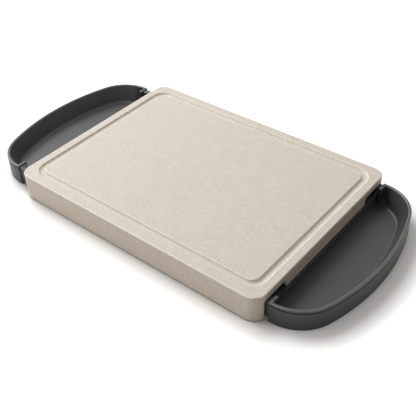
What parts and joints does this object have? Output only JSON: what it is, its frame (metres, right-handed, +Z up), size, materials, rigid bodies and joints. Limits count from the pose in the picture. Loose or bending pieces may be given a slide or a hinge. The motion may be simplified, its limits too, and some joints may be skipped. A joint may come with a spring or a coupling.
{
  "type": "cutting board with drawer trays",
  "caption": "Hollow cutting board with a juice groove and a sliding D-shaped catch tray at each end.",
  "frame": {"origin": "on the table, at the middle of the whole footprint with the trays out as pictured; the board's own centre is 7.5 mm towards +X", "axes": "+X along the board's length towards the right tray, +Y across it towards the back, +Z up"},
  "size_m": [0.5234, 0.27, 0.035],
  "materials": {
    "board": "matte beige fibre plastic with fine speckle",
    "tray": "satin charcoal plastic",
    "rail": "smooth off-white sliding plastic",
    "pad": "soft grey rubber",
    "screw": "plain steel"
  },
  "bodies": {
    "board": {"board_shell": "board", "base_plate": "board", "front_guide_rail": "rail", "rear_guide_rail": "rail", "front_left_pad": "pad", "front_right_pad": "pad", "rear_left_pad": "pad", "rear_right_pad": "pad", "front_left_screw": "screw", "front_middle_screw": "screw", "front_right_screw": "screw", "rear_left_screw": "screw", "rear_middle_screw": "screw", "rear_right_screw": "screw"},
    "left_tray": {"left_tray": "tray"},
    "right_tray": {"right_tray": "tray"}
  },
  "joints": [
    {"name": "left_tray_slide", "type": "slide", "parent": "board", "child": "left_tray", "axis": [-1, 0, 0], "range_m": [-0.0187, 0.031]},
    {"name": "right_tray_slide", "type": "slide", "parent": "board", "child": "right_tray", "axis": [1, 0, 0], "range_m": [-0.0037, 0.046]}
  ]
}
